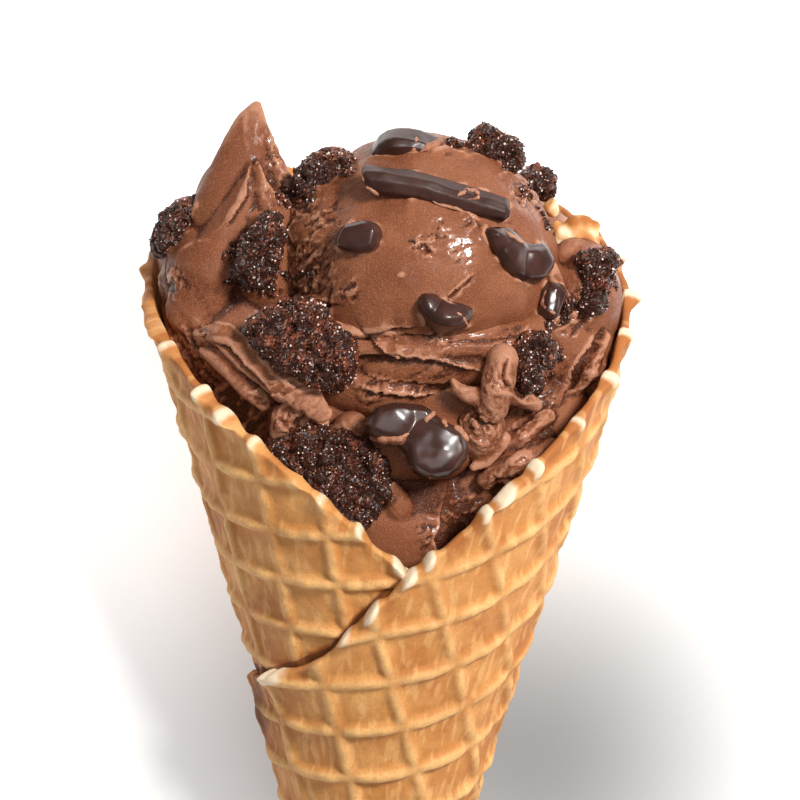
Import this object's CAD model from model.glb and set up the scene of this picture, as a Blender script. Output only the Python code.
import math
import random

import bmesh
import bpy
import numpy as np
from mathutils import Matrix, Vector, noise
from mathutils.bvhtree import BVHTree


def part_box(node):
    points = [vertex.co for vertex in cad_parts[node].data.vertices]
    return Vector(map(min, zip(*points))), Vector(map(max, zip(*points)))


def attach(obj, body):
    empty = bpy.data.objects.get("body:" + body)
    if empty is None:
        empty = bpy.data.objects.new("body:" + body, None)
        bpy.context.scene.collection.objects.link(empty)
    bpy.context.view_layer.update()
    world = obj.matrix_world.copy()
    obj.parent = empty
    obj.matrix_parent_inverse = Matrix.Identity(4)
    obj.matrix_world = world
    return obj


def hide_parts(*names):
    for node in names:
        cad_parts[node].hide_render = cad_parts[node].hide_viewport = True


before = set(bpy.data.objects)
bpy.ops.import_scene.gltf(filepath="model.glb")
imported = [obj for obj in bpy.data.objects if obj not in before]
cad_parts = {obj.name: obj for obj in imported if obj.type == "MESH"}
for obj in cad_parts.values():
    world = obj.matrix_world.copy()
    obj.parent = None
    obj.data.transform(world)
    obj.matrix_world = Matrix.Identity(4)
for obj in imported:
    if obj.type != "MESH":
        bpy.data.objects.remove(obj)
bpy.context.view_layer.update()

# with a seed, the wobble of the thin ropes is the same each run
noise.seed_set(4)

# Everything is modelled in millimetres from the cone's point, then set into the frame in metres
metre = 0.001
coneLow, coneHigh = (Vector(corner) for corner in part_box("waffle_cone"))
apexFromBox = {"x": 0.000217, "y": -0.002561, "z": -0.0001}
apex = Vector(((coneLow.x + coneHigh.x) / 2 + apexFromBox["x"], coneLow.y + apexFromBox["y"],
               coneLow.z + apexFromBox["z"]))

view = {"x": 2.3865, "y": 137.4595, "z": 784.8078, "turn": 0.015829, "lens": 174.409, "sensor": 36.0, "level": 55.0}
eyePlace = Vector((view["x"], view["y"], view["z"]))


def sight(x, y, z):
    # x and y are read where the line of sight meets the level 55 mm above the floor
    share = (view["z"] - z) / (view["z"] - view["level"])
    return Vector((view["x"] + (x - view["x"]) * share, view["y"] + (y - view["y"]) * share, z))


def toFrame(points):
    return np.asarray(points) * metre + np.array(apex)


def toCone(points):
    return (np.asarray(points) - np.array(apex)) / metre


def smoothStep(low, high, value):
    part = np.clip((value - low) / (high - low), 0, 1)
    return part * part * (3 - 2 * part)


def bell(distance, reach, power=2):
    # 1 at no distance, falling to nearly 0 past the reach
    return np.exp(-(distance / reach) ** power)


def noiseAt(points, scale, seed=0.0):
    # one octave of noise at points in millimetres; scale is the size of a swell
    shift = Vector((seed * 7.3, seed * 3.1, seed * 5.7))
    return np.array([noise.noise(Vector(point) / scale + shift) for point in points])


# Shader maths: a socket that can be added to, subtracted from and multiplied
class Socket:
    def __init__(self, finish, socket):
        self.finish = finish
        self.socket = socket

    def maths(self, operation, *others):
        return self.finish.node("ShaderNodeMath", {"operation": operation}, dict(enumerate((self, *others))))

    def __add__(self, other):
        return self.maths("ADD", other)

    def __sub__(self, other):
        return self.maths("SUBTRACT", other)

    def __rsub__(self, other):
        return self.finish.node("ShaderNodeMath", {"operation": "SUBTRACT"}, {0: other, 1: self})

    def __mul__(self, other):
        return self.maths("MULTIPLY", other)

    __radd__, __rmul__ = __add__, __mul__

    def clamped(self):
        return self.finish.node("ShaderNodeClamp", {}, {0: self})

    def above(self, low, high):
        # 0 under low, 1 over high
        return self.finish.node("ShaderNodeMapRange", {"interpolation_type": "SMOOTHSTEP"},
                                {0: self, 1: low, 2: high, 3: 0.0, 4: 1.0})


class Finish:
    def __init__(self, name, roughness, **fixed):
        self.material = bpy.data.materials.new(name)
        self.material.use_nodes = True
        self.tree = self.material.node_tree
        self.shader = self.tree.nodes["Principled BSDF"]
        self.shader.inputs["Roughness"].default_value = roughness
        for socketName, value in fixed.items():
            self.shader.inputs[socketName.replace("_", " ")].default_value = value
        self.place = self.node("ShaderNodeTexCoord", {}, {}, "Object")

    def node(self, kind, settings, values, out=0):
        made = self.tree.nodes.new(kind)
        for key, value in settings.items():
            setattr(made, key, value)
        for key, value in values.items():
            if isinstance(value, Socket):
                self.tree.links.new(value.socket, made.inputs[key])
            else:
                made.inputs[key].default_value = value
        return Socket(self, made.outputs[out])

    def noise(self, size, detail, roughness, distortion=0.0):
        # size is in millimetres
        return self.node("ShaderNodeTexNoise", {}, {"Vector": self.place, "Scale": 1 / (size * metre),
                                                    "Detail": detail, "Roughness": roughness,
                                                    "Distortion": distortion}, "Fac")

    def attribute(self, name):
        return self.node("ShaderNodeAttribute", {"attribute_name": name}, {}, "Fac")

    def mix(self, share, first, second):
        made = self.node("ShaderNodeMix", {"data_type": "RGBA"}, {0: share}, 2)
        for index, colour in ((6, first), (7, second)):
            if isinstance(colour, Socket):
                self.tree.links.new(colour.socket, made.socket.node.inputs[index])
            else:
                made.socket.node.inputs[index].default_value = (*colour, 1)
        return made

    def feed(self, socketName, value):
        self.tree.links.new(value.socket, self.shader.inputs[socketName])

    def bump(self, height, depth, strength):
        # depth is in millimetres
        made = self.node("ShaderNodeBump", {}, {"Height": height, "Distance": depth * metre, "Strength": strength})
        self.feed("Normal", made)


wafflePaint = {"crust": (0.58, 0.238, 0.066), "golden": (0.72, 0.350, 0.116), "browned": (0.42, 0.140, 0.036),
               "streak": (0.86, 0.50, 0.20), "ridge": (0.90, 0.56, 0.235), "speck": (0.40, 0.150, 0.045),
               "gap": (0.15, 0.046, 0.014), "cream": (0.88, 0.69, 0.48)}


def makeWaffleFinish():
    finish = Finish("bakedWaffle", 0.58, Specular_IOR_Level=0.18)
    ridge = finish.attribute("ridge")
    knob = finish.attribute("knob")
    shadeSide = finish.attribute("brown")
    streak = finish.attribute("streak")
    grain = finish.noise(0.55, 4.0, 0.65)
    patches = finish.noise(9.0, 3.0, 0.5)
    streaks = finish.noise(3.0, 3.0, 0.6)
    base = finish.mix(patches.above(0.35, 0.68), wafflePaint["crust"], wafflePaint["golden"])
    browned = finish.mix((shadeSide + (streaks - 0.5) * 0.7).above(0.25, 0.95), base, wafflePaint["browned"])
    lined = finish.mix(streak.above(0.52, 0.85) * 0.40, browned, wafflePaint["streak"])
    ridged = finish.mix(ridge.above(0.25, 0.95) * 0.55, lined, wafflePaint["ridge"])
    speckled = finish.mix(grain.above(0.50, 0.66) * 0.30, ridged, wafflePaint["speck"])
    shut = finish.mix(shadeSide.above(0.95, 1.6) * 0.85, speckled, wafflePaint["gap"])
    pale = finish.mix((knob * 1.2 + (streaks - 0.5) * 0.6).above(0.46, 0.92), shut, wafflePaint["cream"])
    finish.feed("Base Color", pale)
    finish.feed("Roughness", 0.50 + grain * 0.22)
    finish.bump(grain * 0.6 + streaks * 0.4, 0.25, 0.85)
    return finish.material


custardPaint = {"dark": (0.190, 0.058, 0.024), "light": (0.262, 0.090, 0.040), "fold": (0.065, 0.016, 0.0065),
                "lip": (0.44, 0.200, 0.118), "frost": (0.52, 0.250, 0.150), "speck": (0.095, 0.028, 0.012)}


def makeCustardFinish():
    finish = Finish("chocolateCustard", 0.48, Specular_IOR_Level=0.16, Coat_Roughness=0.16)
    worn = finish.attribute("worn")
    torn = finish.attribute("torn")
    melt = finish.attribute("wet")
    swirl = finish.noise(11.0, 3.0, 0.5, 0.6)
    grain = finish.noise(0.7, 4.0, 0.6)
    fine = finish.noise(0.32, 2.0, 0.5)
    wet = finish.noise(3.2, 2.0, 0.5)
    base = finish.mix(swirl.above(0.35, 0.68), custardPaint["dark"], custardPaint["light"])
    deep = finish.mix((0.46 - worn).above(0.0, 0.28), base, custardPaint["fold"])
    pale = finish.mix((worn - 0.55).above(0.04, 0.38), deep, custardPaint["lip"])
    frost = finish.mix(fine.above(0.50, 0.68) * 0.22, pale, custardPaint["frost"])
    specks = finish.mix(grain.above(0.58, 0.72) * 0.38, frost, custardPaint["speck"])
    finish.feed("Base Color", specks)
    pool = (melt + (grain - 0.5) * 1.2).above(0.42, 0.62)
    finish.feed("Roughness", (0.42 + grain * 0.24 - torn * 0.16 - pool * 0.20).clamped())
    finish.feed("Coat Weight", (0.04 + torn * 0.42 + wet.above(0.52, 0.66) * 0.22 + pool).clamped())
    finish.bump((grain * 0.4 + fine * 0.6) * (0.60 + torn * 0.8), 0.50, 0.9)
    return finish.material


browniePaint = {"dark": (0.016, 0.0050, 0.0031), "brown": (0.050, 0.0158, 0.0092), "red": (0.205, 0.056, 0.026),
                "sugar": (0.86, 0.64, 0.55)}


def makeBrownieFinish():
    finish = Finish("brownieCrumb", 0.30, Specular_IOR_Level=0.34)
    tone = finish.attribute("tone")
    grain = finish.noise(0.35, 2.0, 0.6)
    dark = finish.mix(grain.above(0.35, 0.65), browniePaint["dark"], browniePaint["brown"])
    red = finish.mix(tone.above(0.34, 0.62), dark, browniePaint["red"])
    bright = finish.mix(tone.above(0.82, 0.91), red, browniePaint["sugar"])
    finish.feed("Base Color", bright)
    finish.feed("Roughness", 0.22 + grain * 0.25)
    finish.bump(grain, 0.12, 0.6)
    return finish.material


chocolatePaint = {"dark": (0.034, 0.0115, 0.0080), "bloom": (0.056, 0.021, 0.015)}


def makeChocolateFinish():
    finish = Finish("darkChocolate", 0.26, Specular_IOR_Level=0.27, Coat_Roughness=0.18)
    satin = finish.attribute("satin")
    bloom = finish.noise(4.0, 2.0, 0.5)
    grain = finish.noise(0.5, 2.0, 0.5)
    finish.feed("Base Color", finish.mix(bloom.above(0.35, 0.7), chocolatePaint["dark"], chocolatePaint["bloom"]))
    finish.feed("Roughness", 0.24 + bloom * 0.14 + satin * 0.20)
    finish.feed("Coat Weight", (0.46 - satin * 0.43).clamped())
    finish.bump(grain, 0.03, 0.4)
    return finish.material


finishes = {"waffle": makeWaffleFinish(), "custard": makeCustardFinish(), "brownie": makeBrownieFinish(),
            "chocolate": makeChocolateFinish()}
print("finishes made")


def linked(name, data):
    made = bpy.data.objects.new(name, data)
    bpy.context.scene.collection.objects.link(made)
    return made


def addPiece(name, mesh, finishName, nodes):
    mesh.materials.clear()
    mesh.materials.append(finishes[finishName])
    piece = linked(name, mesh)
    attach(piece, "root")
    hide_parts(*nodes)


def meshFrom(bm, name):
    mesh = bpy.data.meshes.new(name)
    bm.to_mesh(mesh)
    bm.free()
    return mesh


def vertexValues(mesh, key="co"):
    values = np.empty(len(mesh.vertices) * 3)
    mesh.vertices.foreach_get(key, values)
    return values.reshape(-1, 3)


def skinOf(mesh):
    return vertexValues(mesh), vertexValues(mesh, "normal")


def setPlaces(mesh, places):
    mesh.vertices.foreach_set("co", np.asarray(places, dtype=np.float32).ravel())
    mesh.update()


def setAttributes(mesh, **attributes):
    # each attribute is one number, or one for every vertex
    for name, values in attributes.items():
        layer = mesh.attributes.new(name, "FLOAT", "POINT")
        layer.data.foreach_set("value", np.full(len(mesh.vertices), values, dtype=np.float32))


# Waffle cone: a flat disc rolled round a point near its edge, with a square grid baked into it
waffle = {"radius": 95.0, "centre": 0.947 * 95.0, "half": math.radians(16.15), "seam": math.radians(-6.85),
          "sheet": 1.5, "step": 2.1, "base": -0.5, "flapReach": 88.5, "flapStart": math.radians(45),
          "innerStart": math.radians(-57), "start": 13.0, "floorGap": 0.13,
          "pitch": 11.0, "gridTurn": math.radians(33), "gridOffset": (-0.7, -1.1), "spread": 0.88,
          "ridgeWidth": 1.15, "ridgeHeight": 1.15, "levelRidge": 1.02, "uprightRidge": 0.78,
          "knobReach": 2.1, "knobRise": 1.1, "edgeRows": 6, "innerRows": 14,
          "shadowStart": (0.82, 0.90), "scorch": {"x": -25, "y": 77, "reach": 7, "above": 15},
          "tip": {"sides": 48, "rings": 30, "low": 3.0, "high": 46.0}}
sinHalf, cosHalf = math.sin(waffle["half"]), math.cos(waffle["half"])
fullTurn = 2 * math.pi * sinHalf
# the angles on the flap over which each thing sets in or ends
flapBands = {name: (math.radians(low), math.radians(high)) for name, low, high in (
    ("lap", 50, 54), ("raised", 64, 74), ("bead", 66, 78), ("pressed", 66, 80), ("knobs", 68, 76),
    ("shadow", 77, 84), ("fall", 77, 90))}


def onBand(name, theta):
    return smoothStep(*flapBands[name], theta)


def rolled(theta, slant, level):
    phi = theta / sinHalf + waffle["seam"]
    radius = slant * sinHalf + level * cosHalf
    height = slant * cosHalf - level * sinHalf
    back = radius * np.cos(phi)
    return np.stack((radius * np.sin(phi), back * sinHalf + height * cosHalf, height * sinHalf - back * cosHalf), -1)


def spiralLevel(theta):
    return waffle["base"] + waffle["step"] * theta / fullTurn


def plainRim(theta):
    centre, radius = waffle["centre"], waffle["radius"]
    disc = centre * np.cos(theta) + np.sqrt(radius ** 2 - (centre * np.sin(theta)) ** 2)
    flap = waffle["flapReach"] / np.sin(np.maximum(theta, waffle["flapStart"]))
    disc = np.where(theta > flapBands["lap"][0], np.maximum(disc, flap), disc)
    return disc + (waffle["start"] - disc) * onBand("fall", theta)


def offGrid(theta, slant):
    # distances to the nearest line of each of the two sets of ridges
    x, y = slant * np.sin(theta * waffle["spread"]), slant * np.cos(theta * waffle["spread"])
    turn = waffle["gridTurn"]
    offLines = []
    for across, offset in ((x * math.cos(turn) + y * math.sin(turn), waffle["gridOffset"][0]),
                           (y * math.cos(turn) - x * math.sin(turn), waffle["gridOffset"][1])):
        steps = (across - offset) / waffle["pitch"]
        offLines.append(np.abs(steps - np.round(steps)) * waffle["pitch"])
    return offLines


def sheetGrid(name, columns, rows):
    bm = bmesh.new()
    bmesh.ops.create_grid(bm, x_segments=columns, y_segments=rows, size=1)
    mesh = meshFrom(bm, name)
    return mesh, *((vertexValues(mesh) + 1) / 2).T[:2]


def closeSheet(mesh, lowest=-math.inf):
    # the open ends of a rolled sheet are filled, and it stays over the floor
    bm = bmesh.new()
    bm.from_mesh(mesh)
    bmesh.ops.remove_doubles(bm, verts=bm.verts, dist=0.002)
    bmesh.ops.holes_fill(bm, edges=[side for side in bm.edges if side.is_boundary], sides=0)
    bmesh.ops.triangulate(bm, faces=[face for face in bm.faces if len(face.verts) > 4])
    bmesh.ops.recalc_face_normals(bm, faces=bm.faces)
    for vert in bm.verts:
        vert.co.z = max(vert.co.z, lowest)
    bm.to_mesh(mesh)
    bm.free()
    setPlaces(mesh, toFrame(vertexValues(mesh)))
    mesh.shade_smooth()


def makeWaffleHalf(name, fromAngle, toAngle, columns, rows):
    # rows run up the inside, over the rim and down the outside
    total = waffle["innerRows"] + waffle["edgeRows"] + rows
    mesh, across, along = sheetGrid(name, columns, total)
    theta = fromAngle + (toAngle - fromAngle) * across
    step = np.round(along * total)
    inside = np.clip(step / waffle["innerRows"], 0, 1)
    over = np.clip((step - waffle["innerRows"]) / waffle["edgeRows"], 0, 1)
    outside = np.clip((step - waffle["innerRows"] - waffle["edgeRows"]) / rows, 0, 1)

    # the rim, with a lobe of batter at the end of each ridge
    plain = plainRim(theta)
    offA, offB = offGrid(theta, plain)
    onEdge = onBand("lap", theta)
    lobeWidth = 1.6 + 0.9 * onEdge
    lobe = np.maximum(bell(offA, lobeWidth), bell(offB, lobeWidth))
    fade = 1 - onBand("fall", theta)
    around = np.stack((np.cos(theta) * 60, np.sin(theta) * 60, theta * 0), -1)
    uneven = noiseAt(around, 6.0, 1.0)
    knobs = 1 - onBand("knobs", theta)
    reach = waffle["knobReach"] * (1 - 0.40 * onEdge) * knobs
    edge = plain + (reach * (lobe - 0.45) * (0.75 + 0.9 * uneven) + 0.5 * noiseAt(around, 1.3, 2.0)) * fade
    slant = np.where(over <= 0, waffle["start"] + (edge - waffle["start"]) * inside,
                     edge + (waffle["start"] - edge) * outside)

    # the ridges, worn unevenly, and flat where the flap lies over them
    offA, offB = offGrid(theta, slant)
    flatRidge, uprightRidge = waffle["levelRidge"], waffle["uprightRidge"]
    onFlap = smoothStep(-0.1, 0.1, theta)
    strongA = uprightRidge + (flatRidge - uprightRidge) * onFlap
    strongB = flatRidge + (uprightRidge - flatRidge) * onFlap
    places = rolled(theta, slant, 0)
    worn = 1 + 0.45 * noiseAt(places, 7.0, 9.0) + 0.35 * noiseAt(places, 2.6, 12.0)
    worn *= 1 - 0.40 * bell(np.maximum(offA, offB), 2.0)
    ridge = np.maximum(*(strong * worn * bell(off, waffle["ridgeWidth"] * (0.6 + 0.5 * strong), 3)
                         for off, strong in ((offA, strongA), (offB, strongB))))
    pillow = np.clip(1 - np.minimum(offA, offB) / 5.5, 0, 1)
    above = theta + fullTurn
    hidden = (theta < 0) & (above < flapBands["fall"][1]) & (slant < plainRim(above) - 1.0)
    relief = np.where(hidden, 0.0, waffle["ridgeHeight"] * ridge + 0.18 * pillow)

    # the levels of the inner and the outer skin
    fromEdge = np.maximum(edge - slant, 0)
    bead = bell(fromEdge, 2.4) * lobe * (0.8 + uneven) * fade * (1 - 0.6 * onBand("bead", theta))
    thin = smoothStep(0, 6, slant - waffle["start"])
    skin = spiralLevel(theta)
    places = rolled(theta, slant, skin)
    swell = noiseAt(places, 16.0, 3.0) * 0.45 + noiseAt(places, 4.5, 4.0) * 0.22 + noiseAt(places, 1.5, 11.0) * 0.09
    swell = np.where(hidden, 0.0, swell)
    pressed = bell(fromEdge, 6.0) * onBand("pressed", theta)
    raised = bell(fromEdge, 5.0) * onEdge
    skin = skin + 1.05 * raised * (1 - onBand("raised", theta))
    outerLevel = skin + relief * (1 - 0.5 * pressed) - 0.95 * pressed + waffle["knobRise"] * bead + swell
    outerLevel = np.where(hidden, skin, outerLevel)
    innerLevel = skin - waffle["sheet"] * (0.15 + 0.85 * thin) - 0.45 * bead + swell
    roundEdge = (1 - np.cos(over * math.pi)) / 2
    slant = slant + np.where((over > 0) & (over < 1), np.sin(over * math.pi) * 0.55, 0.0)
    setPlaces(mesh, rolled(theta, slant, innerLevel + (outerLevel - innerLevel) * roundEdge))

    # how baked each place is
    knobTone = np.where(theta < 0, 0.84, 1.30) * (0.90 + 0.7 * uneven) * (1 - 0.38 * onEdge)
    underFlap = bell(slant - plainRim(above) - 0.6, 1.1) * (theta < 0) * smoothStep(*waffle["shadowStart"], above)
    underFlap = underFlap * (1 - onBand("shadow", above))
    facing = np.sin(theta / sinHalf + waffle["seam"])
    places = rolled(theta, slant, skin)
    brown = 0.28 + 0.42 * noiseAt(places, 14.0, 5.0) + 0.04 * facing + 0.36 * facing ** 2
    brown += 0.45 * bell(fromEdge, 4.0) * (1 - lobe)
    scorch = waffle["scorch"]
    scorched = bell(np.hypot(places[:, 0] - scorch["x"], places[:, 1] - scorch["y"]), scorch["reach"])
    scorched = scorched * (places[:, 2] > scorch["above"])
    grainWay = np.stack((theta * 60, slant * 0.16, theta * 0), -1)
    setAttributes(mesh, ridge=np.where(over >= 1, ridge, 0.3),
                  knob=bell(fromEdge, 2.4) * (0.06 + 0.94 * lobe ** 2) * fade * knobs * knobTone,
                  brown=brown + 0.8 * scorched + 1.7 * underFlap,
                  streak=0.5 + 0.9 * noiseAt(grainWay, 0.9, 7.0) + 0.5 * noiseAt(grainWay * 2.3, 0.9, 8.0))
    closeSheet(mesh, waffle["floorGap"])
    mesh.set_sharp_from_angle(angle=math.radians(60))
    addPiece(name, mesh, "waffle", ["waffle_cone"])


makeWaffleHalf("waffleRight", 0.0, flapBands["fall"][1], 350, 250)
makeWaffleHalf("waffleLeft", waffle["innerStart"], 0.0, 250, 270)


def makeConeTip():
    tip = waffle["tip"]
    mesh, across, along = sheetGrid("waffleTip", tip["sides"], tip["rings"])
    theta = (-0.5 + across) * fullTurn
    slant = tip["low"] + (tip["high"] - tip["low"]) * along
    level = (spiralLevel(theta) - waffle["sheet"] / 2) * smoothStep(0, 12, slant)
    places = rolled(theta, slant, level)
    setPlaces(mesh, places + noiseAt(places, 3.0, 6.0)[:, None] * np.array((0.12, 0, 0.12)))
    setAttributes(mesh, ridge=0.0, knob=0.0, brown=0.5, streak=0.3)
    closeSheet(mesh)
    addPiece("waffleTip", mesh, "waffle", ["waffle_cone"])


makeConeTip()


# Custard: each heap is a set of lumps and ropes melted together, then creased, torn and roughened
custardLook = {"room": 0.55, "creaseLevel": 68.0, "spotLevel": 66.0, "ropeRise": 0.5 - 0.35, "drag": (0.45, 1.0, 0.45),
               "dragTurn": 28, "crowd": 0.7, "crowdReach": 3.0, "shade": 0.36, "lipFar": 1.1, "lipNear": 1.6}


def wallLimit(places):
    # highest level over the plain cone that custard may reach, and each point's own cone coordinates
    height = places[:, 1] * cosHalf + places[:, 2] * sinHalf
    back = places[:, 1] * sinHalf - places[:, 2] * cosHalf
    radius = np.hypot(places[:, 0], back)
    slant = height * cosHalf + radius * sinHalf
    level = radius * cosHalf - height * sinHalf
    phi = np.arctan2(places[:, 0], back)
    theta = ((phi - waffle["seam"] + math.pi) % (2 * math.pi) - math.pi) * sinHalf
    wrapped = theta > waffle["innerStart"] + fullTurn
    layer = np.where(wrapped, theta - fullTurn, theta)
    rimHere = np.where(wrapped, np.maximum(plainRim(theta), plainRim(layer)), plainRim(theta))
    wall = spiralLevel(layer) - waffle["sheet"] - custardLook["room"]
    return theta, slant, level, wall + 0.8 * np.maximum(slant - rimHere - 1.5, 0)


def pressIn(places):
    theta, slant, level, limit = wallLimit(places)
    held = rolled(theta, slant, np.minimum(level, limit))
    return np.where((level > limit)[:, None], held, places)


def alongLine(places, points):
    # distance to a line drawn over the heap as the camera sees it, and which side of it a point is on
    line = [sight(*point, custardLook["creaseLevel"]) for point in points]
    best = np.full(len(places), 1e9)
    side = np.ones(len(places))
    share = np.zeros(len(places))
    total = sum((end - start).length for start, end in zip(line, line[1:]))
    walked = 0.0
    for start, end in zip(line, line[1:]):
        run = np.array((end - start)[:2])
        length = float(np.hypot(*run))
        offset = places[:, :2] - np.array(start[:2])
        part = np.clip(offset @ run / length ** 2, 0, 1)
        gap = np.hypot(*(offset - part[:, None] * run).T)
        nearer = gap < best
        best = np.where(nearer, gap, best)
        side = np.where(nearer, np.sign(run[0] * offset[:, 1] - run[1] * offset[:, 0]), side)
        share = np.where(nearer, (walked + part * length) / total, share)
        walked += length
    return best, side, share


def creaseHeight(places, lines, seed):
    # each line lifts one side of it into a lip and sinks the other
    height = np.zeros(len(places))
    wobble = np.stack((noiseAt(places, 2.2, seed), noiseAt(places, 2.2, seed + 1)), -1) * 0.35
    moved = places.copy()
    moved[:, :2] += wobble
    for points, lift, inner, sink, outer in lines:
        gap, side, share = alongLine(moved, points)
        ends = np.maximum(smoothStep(0, 0.12, share) * smoothStep(0, 0.12, 1 - share), 0.25)
        height += np.where(side > 0, lift * bell(gap, inner, 1.4), -sink * bell(gap, outer, 1.4)) * ends
    return height


def seenGap(places, x, y):
    middle = sight(x, y, custardLook["spotLevel"])
    return np.hypot(places[:, 0] - middle.x, places[:, 1] - middle.y)


def spotShare(places, spots):
    # 1 at the middle of a spot of full strength, 0 away from all of them
    share = np.zeros(len(places))
    for x, y, reach, strength in spots:
        share = np.maximum(share, strength * bell(seenGap(places, x, y), reach))
    return share


def ballShape(subdivisions):
    bm = bmesh.new()
    bmesh.ops.create_icosphere(bm, subdivisions=subdivisions, radius=1)
    places = np.array([vert.co for vert in bm.verts])
    faces = np.array([[vert.index for vert in face.verts] for face in bm.faces])
    bm.free()
    return places, faces


balls = {"lump": ballShape(5), "rope": ballShape(3), "edge": ballShape(2), "grain": ballShape(1)}


class Pile:
    # balls heaped over each other, kept as plain arrays until they are melted into one skin
    def __init__(self):
        self.places, self.faces, self.size = [], [], 0

    def add(self, kind, middle, half, turn=0.0):
        places, faces = balls[kind]
        spin = np.array(Matrix.Rotation(math.radians(turn), 3, "Z"))
        self.places.append((places * half) @ spin.T + np.array(middle))
        self.faces.append(faces + self.size)
        self.size += len(places)

    def arrays(self):
        return np.concatenate(self.places), np.concatenate(self.faces)

    def mesh(self, name):
        places, faces = self.arrays()
        mesh = bpy.data.meshes.new(name)
        mesh.from_pydata(places, [], faces.tolist())
        return mesh

    def tree(self):
        places, faces = self.arrays()
        return BVHTree.FromPolygons(places.tolist(), faces.tolist())


def addRope(pile, points, halves, flat=1.0):
    for start, end, near, far in zip(points, points[1:], halves, halves[1:]):
        start, end = sight(*start), sight(*end)
        steps = max(3, math.ceil((end - start).length / (0.22 * min(near, far) + 0.12)))
        for step in range(steps + 1):
            half = near + (far - near) * step / steps
            pile.add("rope", start.lerp(end, step / steps), (half, half, half * flat))


def topHit(trees, at):
    # the highest place where the camera's line through a point meets the trees
    hits = [tree.ray_cast(eyePlace, (at - eyePlace).normalized())[0] for tree in trees]
    return max((hit for hit in hits if hit is not None), key=lambda hit: hit.z, default=None)


def layRope(pile, trees, points, half):
    # a thin rope drawn over what is already there, as the camera sees it
    line = [Vector((*point, view["level"])) for point in points]
    total = sum((end - start).length for start, end in zip(line, line[1:]))
    walked = 0.0
    for start, end in zip(line, line[1:]):
        length = (end - start).length
        steps = max(2, math.ceil(length / (0.5 * half)))
        for step in range(steps):
            share = (walked + length * step / steps) / total
            at = start.lerp(end, step / steps)
            wobble = noise.noise_vector(at / 1.7)
            at = at + Vector((wobble.x, wobble.y, 0)) * 0.28
            top = topHit(trees, at)
            if top is not None:
                size = half * (0.35 + 0.65 * math.sin(math.pi * min(max(share, 0.04), 0.96)) ** 0.6)
                size *= 1 + 0.35 * noise.noise(at / 1.1)
                pile.add("edge", top + Vector((0, 0, size * custardLook["ropeRise"])), size)
        walked += length


def neighbourMean(mesh, values, rounds):
    edges = np.empty(len(mesh.edges) * 2, dtype=np.int64)
    mesh.edges.foreach_get("vertices", edges)
    first, second = edges.reshape(-1, 2).T
    count = np.bincount(first, minlength=len(values)) + np.bincount(second, minlength=len(values))
    for _ in range(rounds):
        total = np.zeros_like(values)
        for axis in range(values.shape[1]):
            total[:, axis] = (np.bincount(first, weights=values[second, axis], minlength=len(values))
                              + np.bincount(second, weights=values[first, axis], minlength=len(values)))
        values = total / np.maximum(count, 1)[:, None]
    return values


def applyModifiers(piece):
    graph = bpy.context.evaluated_depsgraph_get()
    mesh = bpy.data.meshes.new_from_object(piece.evaluated_get(graph))
    piece.modifiers.clear()
    piece.data = mesh


def melted(mesh, name, voxel, rounds):
    # shapes that overlap become one skin, with its corners softened
    rough = linked(name + "Rough", mesh)
    remesh = rough.modifiers.new("Melt", "REMESH")
    remesh.mode = "VOXEL"
    remesh.voxel_size = voxel
    applyModifiers(rough)
    soften = rough.modifiers.new("Soften", "SMOOTH")
    soften.factor = 0.5
    soften.iterations = rounds
    applyModifiers(rough)
    mesh = rough.data
    bpy.data.objects.remove(rough)
    return mesh


def mergedCopy(node):
    # a solid's mesh is loose triangles, so its copy is merged, and set in millimetres from the cone's point
    bm = bmesh.new()
    bm.from_mesh(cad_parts[node].data)
    bmesh.ops.remove_doubles(bm, verts=bm.verts, dist=0.01 * metre)
    for vert, place in zip(bm.verts, toCone([vert.co for vert in bm.verts])):
        vert.co = place
    return bm


# a blister of baked edge that stands up behind the custard
waffleTab = {"voxel": 0.35, "lumps": (
    ((35.4, 170, 45), (3.6, 3.0, 1.5)), ((37.3, 168.2, 45), (2.2, 2.6, 1.4)), ((33, 168.6, 45), (2.4, 2.4, 1.4)),
    ((31.4, 170.4, 44), (1.3, 1.4, 1.2)), ((37, 164.5, 44), (2.0, 4.0, 1.4)), ((34.5, 164.5, 44), (3.0, 4.0, 1.5)),
    ((38.5, 170.6, 45), (1.2, 1.3, 1.1)), ((30.4, 174.2, 42), (1.4, 1.8, 1.2)))}


def makeWaffleTab():
    pile = Pile()
    for place, half in waffleTab["lumps"]:
        pile.add("lump", sight(*place), half)
    mesh = melted(pile.mesh("waffleTab"), "waffleTab", waffleTab["voxel"], 3)
    shape, normals = skinOf(mesh)
    shape = shape + normals * (noiseAt(shape, 2.2, 21.0) * 0.5 + noiseAt(shape, 0.9, 22.0) * 0.14)[:, None]
    setPlaces(mesh, toFrame(shape))
    mound = noiseAt(shape, 2.6, 23.0)
    setAttributes(mesh, ridge=0.5 + mound, knob=0.35 + 0.9 * mound, brown=0.55 - mound, streak=0.5 + mound)
    mesh.shade_smooth()
    addPiece("waffleTab", mesh, "waffle", ["waffle_cone"])


makeWaffleTab()
print("waffle cone made")

toppings = {}
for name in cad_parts:
    if name.startswith(("brownie", "chocolate")):
        bm = mergedCopy(name)
        toppings[name] = {"tree": BVHTree.FromBMesh(bm), "low": np.min([vert.co for vert in bm.verts], axis=0),
                          "high": np.max([vert.co for vert in bm.verts], axis=0)}
        bm.free()


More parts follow.
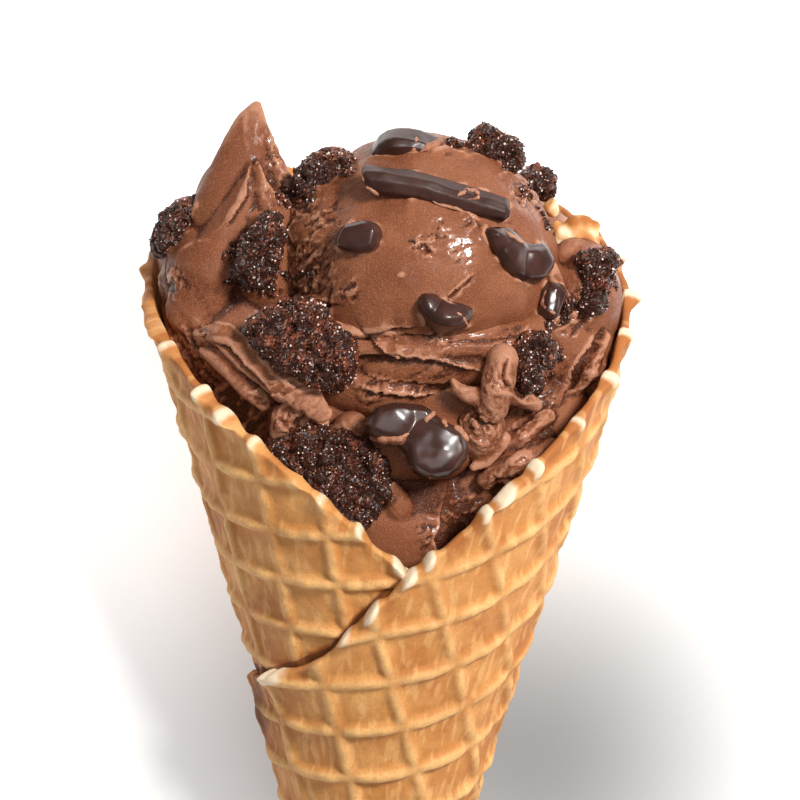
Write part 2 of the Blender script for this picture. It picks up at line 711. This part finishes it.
def bedded(places, normals, seed):
    # custard crowds up round each topping, more in some places than in others
    lift = np.zeros(len(places))
    uneven = noiseAt(places, 2.6, seed) * 1.3 + 0.25
    reach = custardLook["crowdReach"]
    for topping in toppings.values():
        near = ((places > topping["low"] - reach) & (places < topping["high"] + reach)).all(1) & (normals[:, 2] > -0.2)
        for index in np.nonzero(near)[0]:
            gap = topping["tree"].find_nearest(Vector(places[index]), reach)[3]
            if gap is not None:
                lift[index] = max(lift[index], uneven[index] * custardLook["crowd"] * math.exp(-gap ** 2))
    return lift


def makeHeap(name, heap):
    pile = Pile()
    for place, half, *turn in heap["lumps"]:
        pile.add("lump", sight(*place), half, *turn)
    for rope in heap.get("ropes", []):
        addRope(pile, *rope)
    trees = [pile.tree()] if heap["lumps"] else [topping["tree"] for topping in toppings.values()]
    for points, half in heap.get("edges", []):
        layRope(pile, trees, points, half)
    mesh = melted(pile.mesh(name), name, heap["voxel"], heap.get("soften", 4))
    (places, normals), seed = skinOf(mesh), heap["seed"]
    torn = spotShare(places, heap.get("torn", []))
    up = np.clip(normals[:, 2] * 1.4, 0, 1)
    lift = creaseHeight(places, heap.get("creases", []), seed) * up
    turn = np.array(Matrix.Rotation(math.radians(custardLook["dragTurn"]), 3, "Z"))
    pulled = (places @ turn) * np.array(heap.get("drag", custardLook["drag"]))
    calm = heap.get("calm", 1.0)
    lift += noiseAt(places, 9.0, seed) * 0.8 * calm + noiseAt(pulled, 2.4, seed + 2) * (0.10 * calm + 0.45 * torn)
    flakes = smoothStep(-0.04, 0.10, noiseAt(pulled, 1.5, seed + 3) + 0.35 * noiseAt(places, 0.9, seed + 6))
    shreds = smoothStep(-0.02, 0.10, noiseAt(pulled, 0.75, seed + 4))
    lift += (flakes - 0.5) * 0.80 * torn + (shreds - 0.5) * (0.02 + 0.36 * torn)
    lift += noiseAt(places, 0.8, seed + 5) * (0.035 + 0.12 * torn)
    if heap["lumps"]:
        lift += bedded(places, normals, seed + 8)
    places = places + normals * lift[:, None]
    setPlaces(mesh, places)
    near = neighbourMean(mesh, places, 3)
    far = neighbourMean(mesh, near, 9)
    normals = vertexValues(mesh, "normal")
    worn = 0.5 + ((places - far) * normals).sum(1) * custardLook["lipFar"]
    worn += ((places - near) * normals).sum(1) * custardLook["lipNear"]
    setPlaces(mesh, pressIn(places))
    worn -= custardLook["shade"] * spotShare(places, heap.get("shade", [])) + heap.get("dim", 0.0)
    setAttributes(mesh, worn=np.clip(worn, 0, 1), torn=torn, wet=spotShare(places, heap.get("wet", [])))
    setPlaces(mesh, toFrame(vertexValues(mesh)))
    mesh.shade_smooth()
    addPiece(name, mesh, "custard", ["custard"])


# a crease lifts the side on its left and sinks the side on its right
terraces = [
    (((-11, 156), (-11.5, 152.5), (-9, 150), (-6, 149.4), (-3.5, 150), (2, 150.5)), 0.6, 2.2, 2.6, 3),
    (((-2, 148.8), (4, 149), (12, 149), (20, 149.3), (28, 151)), -1.5, 3.4, 1.9, 3.2),
    (((-4.2, 150), (-2.7, 147.5), (-0.5, 146), (4, 145.2), (8, 145), (13, 144), (17.5, 143)), 0.7, 1.3, 0.9, 3.4),
    (((-6, 143.5), (-2, 141.5), (4, 140.7), (10, 140.5), (15, 140)), 0.25, 1.6, 0.25, 2),
    (((-5.5, 139.5), (0, 138.6), (6, 138.3), (12, 138.6)), 0.4, 1.1, 0.6, 1.9)]
terraceEdges = [
    (((-11.3, 152.5), (-9, 150.2), (-6, 149.6)), 0.4),
    (((-3.8, 149.6), (-2.6, 147.6), (-0.5, 146.2), (4, 145.4), (8, 145.2), (13, 144.2), (17, 143.3)), 0.45),
    (((-5.5, 139.7), (0, 138.8), (6, 138.5), (11, 138.8)), 0.4)]
heaps = {
    "custardScoop": {
        "voxel": 0.4, "seed": 1,
        "lumps": [((6, 162, 47), (26, 26, 26)), ((-9, 166, 50), (12, 15, 16))],
        "torn": [
            (-15, 162.5, 5, 0.62), (-13, 171, 4.5, 0.45), (-17, 158.5, 3.5, 0.8), (-7.5, 158, 1.8, 0.9),
            (-17, 175, 4, 0.6), (26, 177, 3, 0.7), (10, 148, 3, 0.7), (9, 169, 2, 0.6), (6.5, 167, 1.6, 0.8),
            (15.5, 171, 1.8, 0.4), (13.5, 165, 2.6, 0.3)],
        "wet": [(13.6, 165.4, 3, 1), (29, 166.5, 2.2, 0.8)],
        "creases": terraces + [
            (((-19, 176), (-20.5, 172), (-21, 163)), 1, 1.2, 1, 1.2),
            (((-18.5, 172), (-19.5, 169), (-18.5, 166.5)), 0.5, 1, 1.8, 1),
            (((-20, 155.7), (-15, 156.4), (-11, 155.7)), 0.9, 0.8, 1.6, 1.6),
            (((4.5, 166), (6.5, 167.3), (8, 165.3)), 0.3, 0.6, 1.1, 0.9),
            (((11, 156.8), (13, 159), (15.5, 160.8)), 0.5, 0.6, 1, 0.7)],
        "edges": terraceEdges[:1] + [
            (((-20.5, 155.3), (-17, 156.2), (-14.5, 155.7), (-11.5, 155.5)), 0.45),
            (((-19.3, 176), (-20.6, 172.5), (-21, 168), (-20.7, 163)), 0.45),
            (((-17, 167), (-13, 168), (-11.3, 168.6)), 0.35), (((-16, 172.2), (-13, 173.2), (-9, 172.6)), 0.35),
            (((11.5, 156.5), (13.5, 158.6), (15.8, 160.3)), 0.4), (((10.2, 158), (12.5, 160.5), (14.5, 161.8)), 0.3),
            (((1.5, 160.7), (2.7, 161.3)), 0.4), (((6.5, 164.8), (8, 164.4)), 0.35),
            (((19, 179.8), (22, 180.5), (25, 178.5)), 0.4), (((12, 182.7), (16, 183.8), (19, 182.5)), 0.35),
            (((20.5, 170), (23.5, 168.5), (25.5, 167.6)), 0.35)],
    },
    "custardSkirt": {
        "voxel": 0.4, "seed": 2,
        "lumps": [((7, 146.2, 48.5), (22, 9.5, 18.3)), ((0, 141, 50), (17, 8, 13.5)), ((20, 146, 45.5), (15, 9, 15))],
        "ropes": [
            (((-12, 150, 62), (-6, 149, 64.4), (2, 148.4, 65.2), (12, 148.4, 65), (20, 149, 62.6),
              (28, 151, 57.5)), (2.6, 3.2, 3.4, 3.4, 3.4, 3))],
        "torn": [(7, 139.5, 3, 0.6), (-3, 139, 3, 0.5), (23, 147, 4, 0.4), (8, 145, 5, 0.25), (12, 149, 3, 0.3)],
        "shade": [
            (14, 150.5, 4.5, 0.5), (24, 150.5, 4, 0.6), (-11, 147, 4, 0.5), (17.5, 147, 3.5, 0.7),
            (3, 143.4, 3.2, 0.6), (10.5, 142.2, 3.6, 0.75), (-2.5, 144.5, 2.6, 0.5), (-4, 138.5, 2.4, 0.5)],
        "creases": terraces,
        "edges": terraceEdges[1:],
    },
    "custardFront": {
        "voxel": 0.38, "seed": 3,
        "lumps": [
            ((2, 116, 50), (13, 14, 12.5)), ((5, 128, 56), (12, 7.5, 8.5), 10), ((-6.7, 132.2, 59), (3.4, 3.2, 4.6)),
            ((14, 120, 44.5), (11, 12, 11))],
        "ropes": [(((2.6, 117.5, 61), (1.9, 120, 62.8), (1.5, 122, 64.5)), (3, 1.8, 0.4))],
        "torn": [(8, 112, 2.5, 0.5), (15, 117, 3, 0.7)],
        "shade": [
            (11.5, 111, 4.4, 1.5), (11, 107, 2.6, 1.3), (13.5, 117, 5.5, 1.2), (7.5, 119.5, 4.5, 1.1),
            (1, 119.5, 2.6, 0.9), (-4, 122.5, 3, 1)],
        "creases": [(((10, 106), (9, 111), (10.5, 116)), 0.9, 1.6, 0.9, 1.6)],
        "edges": [
            (((15.8, 113.5), (13.5, 115.3), (11.5, 117)), 0.5), (((-8.6, 133.8), (-7.6, 131.8), (-4.5, 129.8)), 0.4)],
    },
    "custardLeft": {
        "voxel": 0.42, "seed": 4, "drag": (1, 0.4, 1), "calm": 0.6,
        "lumps": [
            ((-30, 150, 44), (14, 13, 12)), ((-34, 160, 43.5), (9, 14, 15), 5), ((-23, 166, 47), (11, 15, 12)),
            ((-28, 173, 46), (9, 11, 10), 8), ((-38, 165, 42), (6, 9, 8.5))],
        "ropes": [
            (((-30, 171, 52), (-28.6, 178, 53), (-27.6, 184, 53.5), (-26.4, 189, 53.5), (-25.4, 192.6, 53.5)),
             (8, 6.4, 4.5, 2.8, 0.9), 0.62),
            (((-30.5, 173, 52), (-33.5, 166, 51), (-35.4, 160, 50), (-36, 153, 49)), (5.6, 6.2, 6.6, 5.8), 0.75),
            (((-41, 154, 47), (-41.6, 160, 48), (-40, 165, 48)), (1.4, 1.9, 1.2)),
            (((-22.5, 171, 55.5), (-24.2, 177, 57.2), (-25.3, 182.2, 57.2)), (2.8, 1.7, 0.5), 0.8),
            (((-33, 166, 55.5), (-30, 171, 56.5), (-27.5, 176, 57), (-26, 181, 57)), (1.6, 2, 1.7, 0.6), 0.8),
            (((-25.4, 180.5, 56.6), (-27, 176.5, 56.8), (-29, 172, 56.2), (-31.5, 167, 55.2), (-34, 161, 54.2),
              (-36, 154, 52)), (1, 2.2, 3.2, 4.4, 6, 6), 0.8),
            (((-24.2, 188.6, 53), (-22.8, 184, 53.4), (-21.2, 179.6, 53.2), (-20.2, 176.6, 52.4)),
             (0.9, 1.9, 2.4, 2.4), 0.6)],
        "torn": [
            (-41.5, 159.5, 2.5, 1), (-20.5, 177, 2.4, 0.8), (-23.2, 187, 1.5, 0.9), (-22.3, 183, 1.6, 0.9),
            (-38, 146, 5, 0.8), (-33, 140, 4, 0.5)],
        "shade": [(-30, 138, 6, 1.5), (-37, 137, 4, 1.5), (-24, 150, 3, 0.6), (-35, 158, 7, 0.6)],
        "creases": [(((-31, 170), (-27.8, 176), (-26.6, 182.4)), 0.4, 1, 0.3, 1.4)],
        "edges": [
            (((-27.3, 190.8), (-27.8, 187), (-27, 183.6)), 0.26),
            (((-34, 167.4), (-31, 170.6), (-28.4, 174.8), (-26.6, 179), (-25.6, 182.2)), 0.32),
            (((-25.6, 182.3), (-24.4, 181), (-23.6, 178.8)), 0.32),
            (((-40, 164.6), (-36.5, 166.6), (-34, 167.3)), 0.4),
            (((-41.8, 164), (-42.6, 160.5), (-41.6, 157), (-39.5, 155.4)), 0.45),
            (((-39.8, 164), (-40.6, 160.5), (-39.8, 157)), 0.4), (((-25, 174.5), (-25.5, 172.5), (-28.5, 169)), 0.35),
            (((-40, 151), (-38, 149.6), (-37, 147), (-38.5, 145)), 0.45)],
    },
    "custardRibbon": {
        "voxel": 0.34, "seed": 5, "calm": 0.5, "dim": -0.14,
        "lumps": [((-16, 133, 55.5), (5.5, 4.5, 6.5))],
        "ropes": [
            (((-36, 149.6, 60), (-31, 149.3, 63), (-26, 145, 65.2), (-20.6, 140.8, 66), (-15, 137.6, 66),
              (-12.4, 134.8, 65)), (1.2, 2.5, 3.2, 3.2, 2.7, 1.8), 0.6),
            (((-35, 146.2, 60), (-29.3, 143.2, 62.4), (-25.6, 139.3, 62.6), (-23.4, 136.2, 61.6)),
             (1, 2.3, 2.6, 1.3), 0.7),
            (((-20.8, 130.6, 61), (-19.8, 133.8, 62.6), (-17.2, 136.2, 63.6)), (1.3, 2.1, 2), 0.7)],
        "torn": [(-21, 138, 2.6, 0.6), (-36, 149.5, 1.6, 0.8), (-24.5, 138, 2, 0.5), (-18.5, 133, 2.8, 0.8)],
        "creases": [(((-34.5, 148), (-30, 147.2), (-26, 142.6), (-22.5, 139.2)), 0.3, 0.9, 0.7, 1.6)],
        "edges": [
            (((-36.5, 150.8), (-33.5, 151.7), (-30, 151.2), (-27, 149), (-24.3, 145.2), (-21.6, 142.2),
              (-17.4, 139.2)), 0.5), (((-34.5, 148.3), (-31.5, 148.6), (-28.5, 147.6)), 0.35),
            (((-33, 147), (-29, 143.6), (-26.5, 140.3)), 0.42),
            (((-21.4, 141), (-17.6, 141.2), (-14.5, 139.4)), 0.35),
            (((-17, 138.9), (-13.6, 139.3), (-11, 137.9)), 0.45),
            (((-10.8, 137.6), (-10.7, 134.6), (-11.8, 132.4)), 0.42),
            (((-20.8, 132.6), (-20.1, 135.3), (-17.8, 137.2)), 0.42),
            (((-18.8, 130.6), (-18.3, 132.8), (-16.4, 134.8)), 0.38),
            (((-16, 131.2), (-15.6, 133.6), (-13.8, 135.4)), 0.38)],
    },
    "custardRight": {
        "voxel": 0.4, "seed": 6,
        "lumps": [
            ((31, 152, 41), (12, 17, 14.5), 10), ((26, 134, 44.5), (13, 12, 11.5), 35),
            ((38, 145, 46), (3.6, 8, 6), 20), ((34.5, 164.5, 48), (4.2, 4.2, 4.2)), ((36, 157, 43), (8, 12, 12))],
        "ropes": [
            (((18.5, 122.5, 57.5), (24.5, 126, 59.5), (31, 129.3, 56)), (2, 2.5, 2.1)),
            (((20.5, 127.6, 57.5), (25.5, 131, 59), (30.5, 134.8, 56)), (1.5, 2, 1.6)),
            (((34.5, 139, 50.5), (38, 143.5, 52.5), (41, 150, 51)), (1, 1.8, 1)),
            (((30, 163, 57), (32.5, 158, 56.5), (34.5, 153, 55)), (1.2, 1.7, 1.2))],
        "torn": [
            (22, 121.5, 2.5, 0.8), (33, 155, 4, 0.8), (38, 143.5, 4, 0.35), (28, 137, 4, 0.5), (25, 126.5, 3.5, 0.45),
            (25.5, 131, 3, 0.45)],
        "shade": [
            (17.5, 119, 3.2, 1), (21, 128.6, 2.6, 0.8), (31, 141, 4.5, 0.9), (30, 149, 4, 0.9), (27.5, 154, 4, 0.7)],
        "creases": [(((34, 139.5), (35.5, 144), (40, 150.5)), 0.7, 1.2, 1.6, 1.6)],
        "edges": [
            (((19.5, 120.5), (24, 122.7), (29.5, 126)), 0.4), (((34, 142), (36, 145.3), (40.2, 149.5)), 0.5),
            (((24, 133.5), (28, 135), (32, 137.6)), 0.45), (((33.5, 139.5), (37, 140.4), (39.6, 144)), 0.35),
            (((30.5, 161.5), (32.6, 158), (34.4, 154.5)), 0.45), (((32, 163), (33.8, 159), (35.6, 155)), 0.35)],
    },
    "custardFigure": {
        "voxel": 0.34, "seed": 8, "calm": 0.5, "dim": -0.15, "drag": (1, 0.35, 1),
        "lumps": [((17.5, 132, 56), (4.6, 6, 8), -12)],
        "ropes": [
            (((19.8, 136.5, 63), (20.6, 140, 65), (21.6, 145.2, 65)), (3.1, 3, 3.2)),
            (((19, 138, 63.5), (15, 138.6, 64), (13, 139.8, 64), (12.2, 141.3, 64)), (2.1, 1.5, 1.2, 0.6)),
            (((21.5, 139, 62.5), (25, 138.4, 61), (28, 137, 59)), (1.8, 1.8, 1.3)),
            (((21.5, 130, 59), (18.8, 126.5, 59), (16.4, 125, 59.5)), (2, 1.5, 0.8), 0.7)],
        "torn": [(17.5, 132.5, 3.2, 0.8), (20.5, 141, 2.5, 0.4), (25.5, 140, 2, 0.5)],
        "creases": [(((22.6, 145), (22, 142.5), (23.4, 140)), 0.3, 0.7, 1.3, 0.7)],
        "edges": [
            (((20, 139), (23, 139), (26, 137.2), (28.5, 137.3)), 0.42),
            (((12.1, 141.5), (13.3, 139.6), (15.8, 139.8)), 0.35), (((14.3, 135.6), (13.8, 132.5), (15, 129.6)), 0.4),
            (((24.6, 146), (25.1, 143), (25, 140.5)), 0.35)],
    },
    "custardSmears": {
        "voxel": 0.26, "seed": 9, "calm": 0.2, "soften": 2, "lumps": [],
        "torn": [(9, 133, 2.4, 0.5), (14.5, 176, 2, 0.5)],
        "edges": [
            (((-4.6, 132.4), (-4, 130.7), (-1, 130.1), (2.5, 130.2), (4.6, 131.2)), 0.85),
            (((-2, 129.6), (1.5, 129.3), (4.2, 130)), 0.6), (((-1, 127.6), (0.2, 126.2), (3, 125.2), (6, 125)), 0.7),
            (((5, 125.2), (7.2, 125.6), (8, 124), (8.6, 122.3)), 0.8),
            (((12.8, 135.4), (13.2, 132.3), (14.8, 130.6), (16, 129)), 0.8),
            (((16, 127.2), (14.9, 124.6), (14.6, 121.8)), 0.7),
            (((7.2, 134), (8.8, 135), (10.8, 134.4), (11, 132.4), (9.6, 131.2), (8, 132.2), (7.4, 133.6)), 0.6),
            (((12.8, 176), (14.2, 177.2), (16, 177), (16.4, 175.8), (14.4, 175.2)), 0.5),
            (((-2.8, 182.3), (0.4, 182.2), (2.6, 183.4), (4.2, 184.4), (4.9, 187.2)), 0.75),
            (((5.4, 184.4), (7.6, 185.4), (9.6, 186.6)), 0.9),
            (((-9.8, 166.4), (-8.8, 169.2), (-7, 171.4), (-3.4, 172.2), (-0.8, 171.8), (-0.3, 169)), 0.42),
            (((-5.4, 179.6), (-4.6, 177.4), (-1.4, 175.6)), 0.45), (((8, 175), (11.5, 173.8), (15, 173)), 0.4),
            (((15.4, 170), (15.7, 166.8), (18, 164), (21, 161.4)), 0.4),
            (((23.6, 159.8), (25.4, 159.6), (27.4, 158.8), (29, 160)), 0.8),
            (((20.4, 170.4), (22.8, 168.6), (25.6, 167.2)), 0.45), (((29.6, 158.4), (29, 155.8), (31.4, 154)), 0.6),
            (((4.8, 157.8), (4.8, 155.4), (6, 153.6)), 0.35), (((8.6, 157.6), (10.8, 156), (13.4, 155.4)), 0.45),
            (((9.6, 153.2), (11.4, 154.2), (13.8, 153.4), (15, 151.6)), 0.55)],
    },
    "custardInside": {
        "voxel": 0.9, "seed": 7, "dim": 0.2,
        "lumps": [
            ((1, 141, 38), (42.5, 33, 20)), ((3, 165, 24), (36, 16, 22)), ((0, 112, 32), (31, 30, 20)),
            ((10, 142, 38), (24, 26, 22))],
        "torn": [(-30, 140, 12, 0.8), (20, 120, 8, 0.6), (5, 178, 14, 0.3)],
        "shade": [(12, 111, 7, 0.8), (14, 118, 7, 1), (-30, 138, 8, 1.2)],
    },
}
for name, heap in heaps.items():
    makeHeap(name, heap)
print("custard made")


# share of the skin's points with a grain, the grains' sizes, brighter or darker pieces, and lines of loose crumbs
crumbs = {"grainShare": 0.22, "grain": (0.09, 0.24), "bias": {"brownie_centre": 0.09, "brownie_front": -0.03},
          "under": ("custardScoop", "custardLeft", "custardSkirt", "custardRight"),
          "trails": [(((11.6, 186.4), (15, 186), (20, 184), (23.4, 181)), 1.0),
                     (((22.6, 182), (24.6, 179.6), (27, 176)), 1.1), (((28, 174.4), (29.6, 171.2), (30.8, 168.2)), 0.8),
                     (((-8, 180.6), (-9.6, 178)), 1.2), (((-30.4, 160), (-27.3, 159), (-23.9, 158), (-19.8, 158)), 0.9),
                     (((-21.6, 160.6), (-17, 160.6), (-13.8, 161.2)), 0.6), (((-30.4, 165.5), (-29.6, 162)), 0.9),
                     (((-19, 175.5), (-16.4, 174.6), (-14.6, 174.4)), 0.8), (((-21.8, 175.4), (-20, 174)), 1.3),
                     (((-44, 164.4), (-42.4, 166.4)), 0.8), (((4, 167.2), (5.2, 166.6)), 0.35),
                     (((33, 156), (33.8, 152.6)), 1.0), (((31, 151.5), (31.6, 146.5), (30.4, 142.5)), 1.1)]}


def numbered(kind):
    return enumerate(sorted(name for name in toppings if name.startswith(kind)))


def crumble(mesh, name, node, seed, swell):
    shape, normals = skinOf(mesh)
    lift = 0.3 + noiseAt(shape, 3.4, seed) * 1.3 + noiseAt(shape, 1.5, seed + 1) * 0.7
    lift -= smoothStep(0.22, 0.5, noiseAt(shape, 2.6, seed + 2)) * 0.9
    setPlaces(mesh, shape + normals * lift[:, None] * swell)
    shape, normals = skinOf(mesh)
    clump = 0.34 - np.abs(noiseAt(shape, 0.62, seed + 3))
    shape = pressIn(shape + normals * (clump * 0.62)[:, None])
    setPlaces(mesh, shape)
    normals = vertexValues(mesh, "normal")
    uphill = (shape[:, 1] - shape[:, 1].mean()) / np.ptp(shape[:, 1])
    bias = crumbs["bias"].get(node, 0.0) * swell + 0.22 * uphill * swell
    tone = 0.16 + 0.9 * clump + noiseAt(shape, 2.6, seed + 4) * 0.35 + bias

    # grains scattered over the skin that shows
    draw = random.Random(int(seed * 10))
    smallest, largest = crumbs["grain"]
    ballPlaces, ballFaces = balls["grain"]
    faces = np.array([part for face in mesh.polygons
                      for part in (face.vertices[:3], (face.vertices[0], *face.vertices[2:])) if len(part) == 3])
    grainPlaces, grainFaces, tones = [shape], [faces], [tone]
    start = len(shape)
    for _ in range(int(len(shape) * crumbs["grainShare"])):
        at = draw.randrange(len(shape))
        size = smallest + (largest - smallest) * draw.random() ** 2
        stretch = np.array([0.6 + 0.8 * draw.random() for _ in range(3)])
        turn = np.array(Matrix.Rotation(draw.random() * 6.28, 3, Vector((draw.random(), draw.random(), 1))))
        tint = draw.random() + 0.4 * bias[at]
        if normals[at][2] < -0.35:
            continue
        grainPlaces.append((ballPlaces * stretch * size) @ turn + shape[at] + normals[at] * size * 0.4)
        grainFaces.append(ballFaces + start)
        tones.append(np.full(len(ballPlaces), tint))
        start += len(ballPlaces)
    whole = bpy.data.meshes.new(name)
    whole.from_pydata(toFrame(np.concatenate(grainPlaces)), [], np.concatenate(grainFaces).tolist())
    setAttributes(whole, tone=np.concatenate(tones))
    whole.update()
    addPiece(name, whole, "brownie", [node])


def placedTree(pieceName):
    mesh = bpy.data.objects[pieceName].data
    return BVHTree.FromPolygons(toCone(vertexValues(mesh)).tolist(), [tuple(face.vertices) for face in mesh.polygons])


def makeLooseCrumbs():
    # crumbs fallen along lines over the custard, as the camera sees them
    trees = [placedTree(name) for name in crumbs["under"]]
    draw = random.Random(4)
    pile = Pile()
    for points, half in crumbs["trails"]:
        line = [Vector((*point, view["level"])) for point in points]
        for start, end in zip(line, line[1:]):
            steps = max(1, round((end - start).length / (0.7 * half)))
            for step in range(steps):
                aside = Vector((draw.uniform(-1, 1), draw.uniform(-1, 1), 0)) * half
                size = half * draw.uniform(0.45, 0.95)
                top = topHit(trees, start.lerp(end, step / steps) + aside)
                if top is not None:
                    middle = top + Vector((0, 0, size * 0.2))
                    pile.add("edge", middle, (size, size * draw.uniform(0.6, 1.1), size * 0.7))
    crumble(melted(pile.mesh("looseCrumbs"), "looseCrumbs", 0.28, 1), "looseCrumbs", "brownie_top", 17.0, 0.25)


for number, name in numbered("brownie"):
    crumble(melted(meshFrom(mergedCopy(name), name), name + "Crumb", 0.32, 2), name + "Crumb", name, 1.0 + number, 1.0)
makeLooseCrumbs()
print("brownies made")


# swells on the chunks, each its place, reach and rise, and how satin the chunks are
chunks = {
    "swells": {"chocolate_front": ((0.2, 134.2, 5.0, 1.0), (9.6, 128.0, 6.6, 1.5)),
               "chocolate_middle": ((6.5, 156.0, 3.4, 0.9), (11.5, 153.2, 3.6, 0.9)),
               "chocolate_boomerang": ((19.0, 166.6, 3.8, 0.7), (23.0, 163.6, 3.8, 0.8), (28.4, 163.2, 3.6, 1.0)),
               "chocolate_square": ((-5.8, 168.2, 5.4, 1.0),), "chocolate_dome": ((3.5, 184.5, 6.0, 0.8),),
               "chocolate_bead": ((29.6, 156.6, 2.8, 0.7),)},
    "satin": {"chocolate_bar": 1.0, "chocolate_dome": 0.5, "chocolate_middle": 0.3}}


def makeChocolate(node, seed):
    mesh = melted(meshFrom(mergedCopy(node), node), node + "Gloss", 0.26, 2)
    shape, normals = skinOf(mesh)
    lift = noiseAt(shape, 4.5, seed) * 0.35 + noiseAt(shape, 1.8, seed + 1) * 0.08 + 0.10
    shape = shape + normals * lift[:, None]
    rise = np.zeros(len(shape))
    for x, y, reach, height in chunks["swells"].get(node, ()):
        gap = seenGap(shape, x, y) / reach
        rise = np.maximum(rise, height * (1 - np.clip(gap, 0, 1) ** 2))
    shape[:, 2] += rise * smoothStep(0.1, 0.7, normals[:, 2])
    setPlaces(mesh, toFrame(pressIn(shape)))
    setAttributes(mesh, satin=chunks["satin"].get(node, 0.0))
    mesh.shade_smooth()
    addPiece(node + "Gloss", mesh, "chocolate", [node])


for number, name in numbered("chocolate"):
    makeChocolate(name, 31.0 + number)
print("chocolate made")

# each shade pool is its middle, its reach and how dark it is there
floorLook = {"half": 3.0, "grey": 0.93, "glow": 0.80, "pools": (((-33, 66, 0), 70.0, 0.34), ((31, 66, 0), 98.0, 0.80))}
bm = bmesh.new()
bmesh.ops.create_grid(bm, x_segments=1, y_segments=1, size=floorLook["half"])
floor = linked("floor", meshFrom(bm, "floor"))
floorFinish = Finish("paleFloor", 0.9, Specular_IOR_Level=0.1, Emission_Strength=floorLook["glow"])
tint = 1.0
for middle, reach, depth in floorLook["pools"]:
    away = floorFinish.node("ShaderNodeVectorMath", {"operation": "DISTANCE"},
                            {0: floorFinish.place, 1: tuple(toFrame(middle))}, "Value")
    tint = tint * (away.above(0.0, reach * metre) * depth + (1 - depth))
backdrop = floorFinish.mix(tint, (0.0, 0.0, 0.0), (floorLook["grey"],) * 3)
floorFinish.feed("Base Color", backdrop)
floorFinish.feed("Emission Color", backdrop)
floor.data.materials.append(floorFinish.material)

lights = {"keyLight": {"at": (0.39, 0.32, 0.74), "size": 0.19, "power": 9.15, "colour": (1.0, 0.985, 0.96)},
          "fillLight": {"at": (-0.55, -0.15, 0.75), "size": 0.8, "power": 0.35, "colour": (1.0, 0.98, 0.95)},
          "overLight": {"at": (0.10, 0.0, 1.1), "size": 0.7, "power": 2.6, "colour": (1, 1, 1)}}
lightAim = (0.0, 0.04, 0.05)
worldGlow = 0.15


def addLight(name, at, size, power, colour):
    light = bpy.data.lights.new(name, "AREA")
    light.shape = "DISK"
    light.size = size
    light.energy = power
    light.color = colour
    lamp = linked(name, light)
    lamp.location = at
    lamp.rotation_euler = (Vector(lightAim) - Vector(at)).to_track_quat("-Z", "Y").to_euler()


for name, values in lights.items():
    addLight(name, **values)

scene = bpy.context.scene
scene.world = bpy.data.worlds.new("studio")
scene.world.use_nodes = True
background = scene.world.node_tree.nodes["Background"]
background.inputs["Color"].default_value = (1, 1, 1, 1)
background.inputs["Strength"].default_value = worldGlow
scene.view_settings.view_transform = "Standard"

camera = bpy.data.cameras.new("camera")
camera.sensor_width = view["sensor"]
camera.lens = view["lens"]
eye = linked("camera", camera)
eye.location = tuple(toFrame(eyePlace))
eye.rotation_euler = (0, 0, view["turn"])
scene.camera = eye
print("scene lit")
